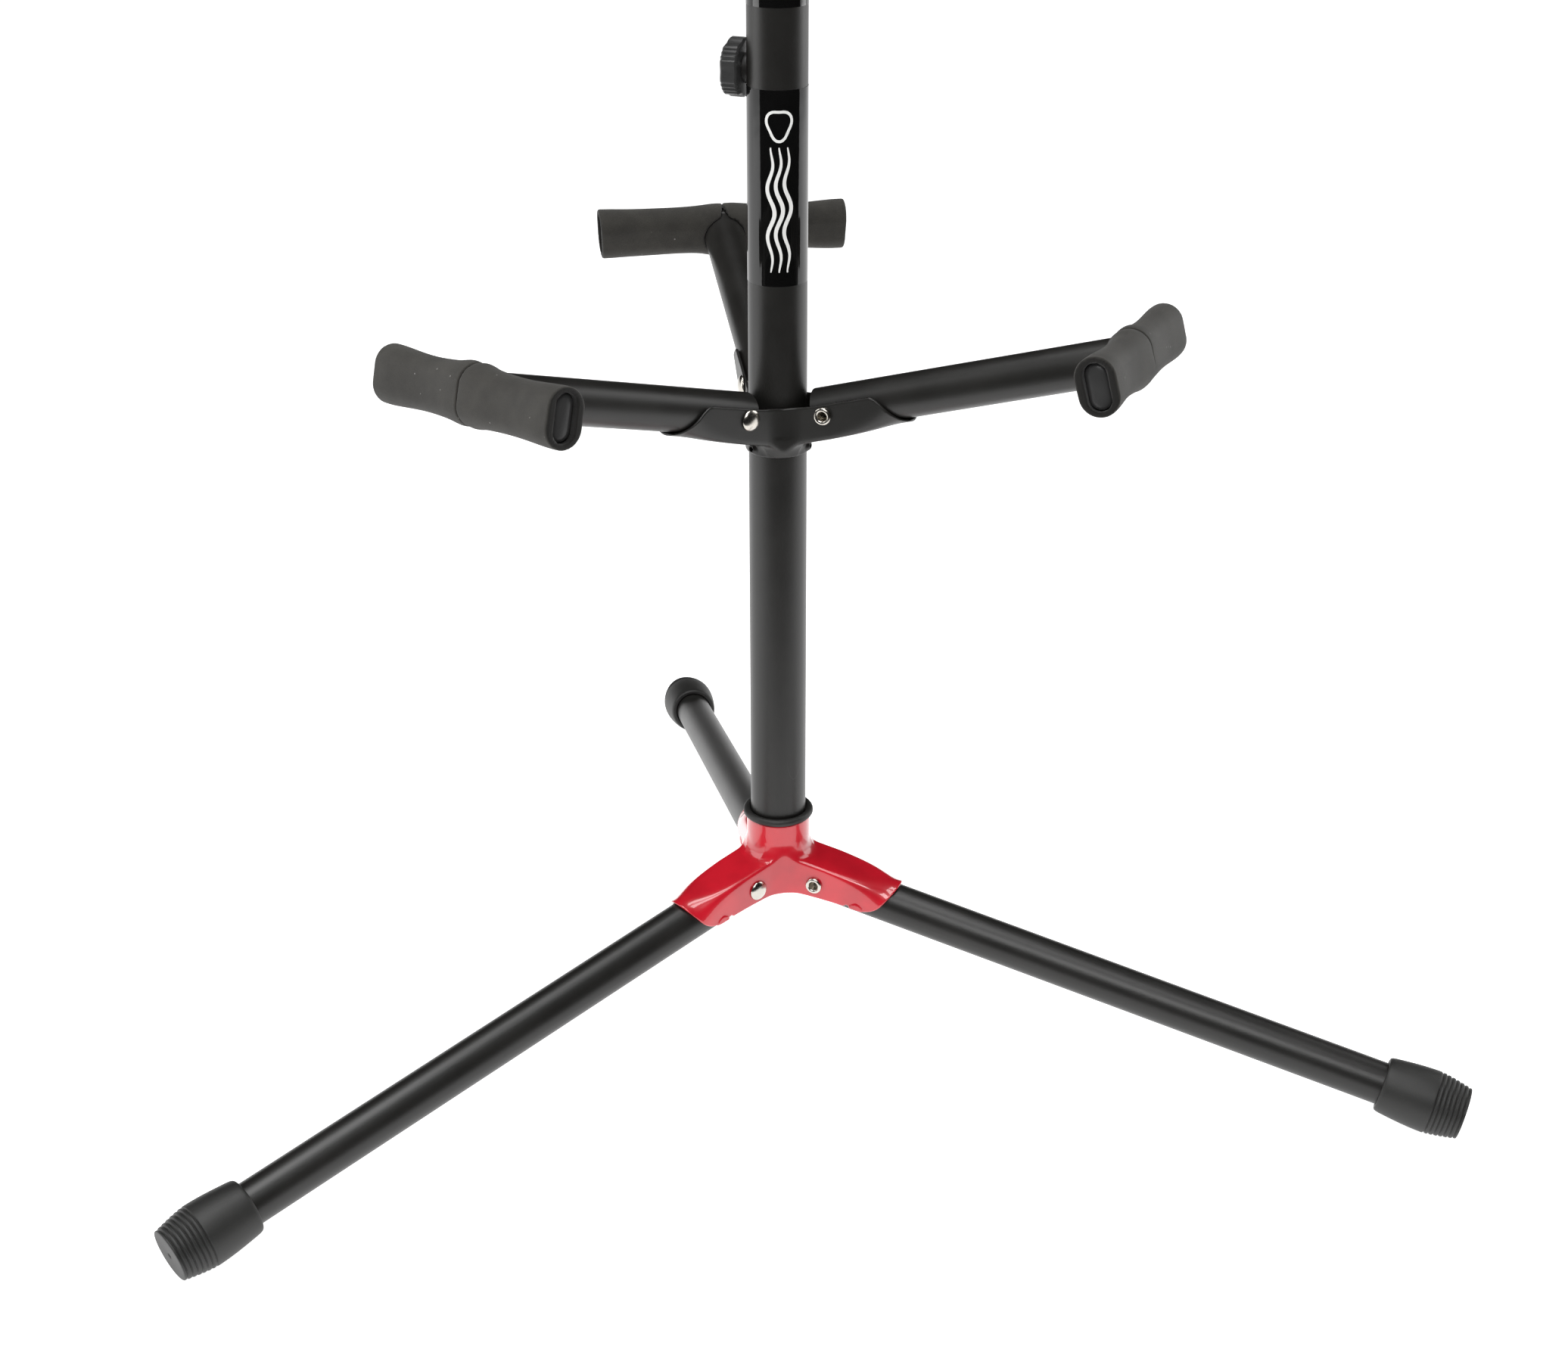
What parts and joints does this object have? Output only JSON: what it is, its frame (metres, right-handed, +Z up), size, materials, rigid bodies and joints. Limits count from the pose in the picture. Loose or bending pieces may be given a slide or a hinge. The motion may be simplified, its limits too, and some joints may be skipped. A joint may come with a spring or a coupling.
{
  "type": "three-guitar stand",
  "caption": "Folding tubular floor rack for guitars: tripod base, mast, foam-covered cradle arms, telescoping upper tube and neck yokes.",
  "frame": {"origin": "on the floor plane, on the mast's axis", "axes": "+Z up along the mast, +Y outward along the rear leg, so the front yoke faces -Y"},
  "size_m": [0.744, 0.6468, 1.0041],
  "materials": {
    "red_enamel": "high gloss red enamel on pressed steel",
    "black_powder_coat": "satin black powder coat",
    "nickel_plate": "bright nickel plate",
    "zinc_steel": "zinc plated steel",
    "gloss_film": "clear gloss film over black",
    "black_rubber": "matt moulded rubber",
    "black_foam": "matt closed-cell foam tube",
    "black_plastic": "moulded black plastic"
  },
  "bodies": {
    "stand": {"base_hub": "red_enamel", "leg_rivets": "nickel_plate", "mast_tube": "black_powder_coat", "mast_ring": "black_rubber", "mast_label": "gloss_film", "upper_film_band": "gloss_film", "mast_bushing": "black_plastic", "clamp_nut": "black_powder_coat", "cradle_hub": "black_powder_coat", "arm_rivets": "nickel_plate"},
    "left_leg": {"left_leg_tube": "black_powder_coat", "left_foot": "black_rubber"},
    "right_leg": {"right_leg_tube": "black_powder_coat", "right_foot": "black_rubber"},
    "rear_leg": {"rear_leg_tube": "black_powder_coat", "rear_foot": "black_rubber"},
    "left_arm": {"left_arm_tube": "black_powder_coat", "left_cross_bar": "black_powder_coat", "left_bar_plugs": "black_plastic", "left_outer_sleeve": "black_foam", "left_inner_sleeve": "black_foam"},
    "right_arm": {"right_arm_tube": "black_powder_coat", "right_cross_bar": "black_powder_coat", "right_bar_plugs": "black_plastic", "right_outer_sleeve": "black_foam", "right_inner_sleeve": "black_foam"},
    "rear_arm": {"rear_arm_tube": "black_powder_coat", "rear_cross_bar": "black_powder_coat", "rear_bar_plugs": "black_plastic", "rear_outer_sleeve": "black_foam", "rear_inner_sleeve": "black_foam"},
    "upper": {"inner_tube": "black_powder_coat", "inner_tube_plug": "black_plastic", "yoke_head": "black_plastic", "yoke_head_screw": "zinc_steel", "front_yoke": "black_powder_coat", "right_yoke": "black_powder_coat", "left_yoke": "black_powder_coat", "front_yoke_foam": "black_foam", "right_yoke_foam": "black_foam", "left_yoke_foam": "black_foam"},
    "clamp": {"clamp_knob": "black_plastic", "clamp_screw": "zinc_steel"}
  },
  "joints": [
    {"name": "left_leg_fold", "type": "hinge", "parent": "stand", "child": "left_leg", "pos_m": [-0.02453, -0.01416, 0.09769], "axis": [0.5, -0.866, 0], "range_deg": [0, 78]},
    {"name": "right_leg_fold", "type": "hinge", "parent": "stand", "child": "right_leg", "pos_m": [0.02453, -0.01416, 0.09769], "axis": [0.5, 0.866, 0], "range_deg": [0, 78]},
    {"name": "rear_leg_fold", "type": "hinge", "parent": "stand", "child": "rear_leg", "pos_m": [0, 0.02832, 0.09769], "axis": [-1, 0, 0], "range_deg": [0, 78]},
    {"name": "left_arm_fold", "type": "hinge", "parent": "stand", "child": "left_arm", "pos_m": [-0.02751, -0.01588, 0.39739], "axis": [-0.5, 0.866, 0], "range_deg": [0, 62]},
    {"name": "right_arm_fold", "type": "hinge", "parent": "stand", "child": "right_arm", "pos_m": [0.02751, -0.01588, 0.39739], "axis": [-0.5, -0.866, 0], "range_deg": [0, 62]},
    {"name": "rear_arm_fold", "type": "hinge", "parent": "stand", "child": "rear_arm", "pos_m": [0, 0.03177, 0.39739], "axis": [1, 0, 0], "range_deg": [0, 62]},
    {"name": "height_slide", "type": "slide", "parent": "stand", "child": "upper", "axis": [0, 0, 1], "range_m": [-0.2, 0.14]},
    {"name": "clamp_turn", "type": "hinge", "parent": "stand", "child": "clamp", "pos_m": [-0.01905, 0.011, 0.582], "axis": [-0.866, 0.5, 0], "range_deg": [0, 540]}
  ]
}
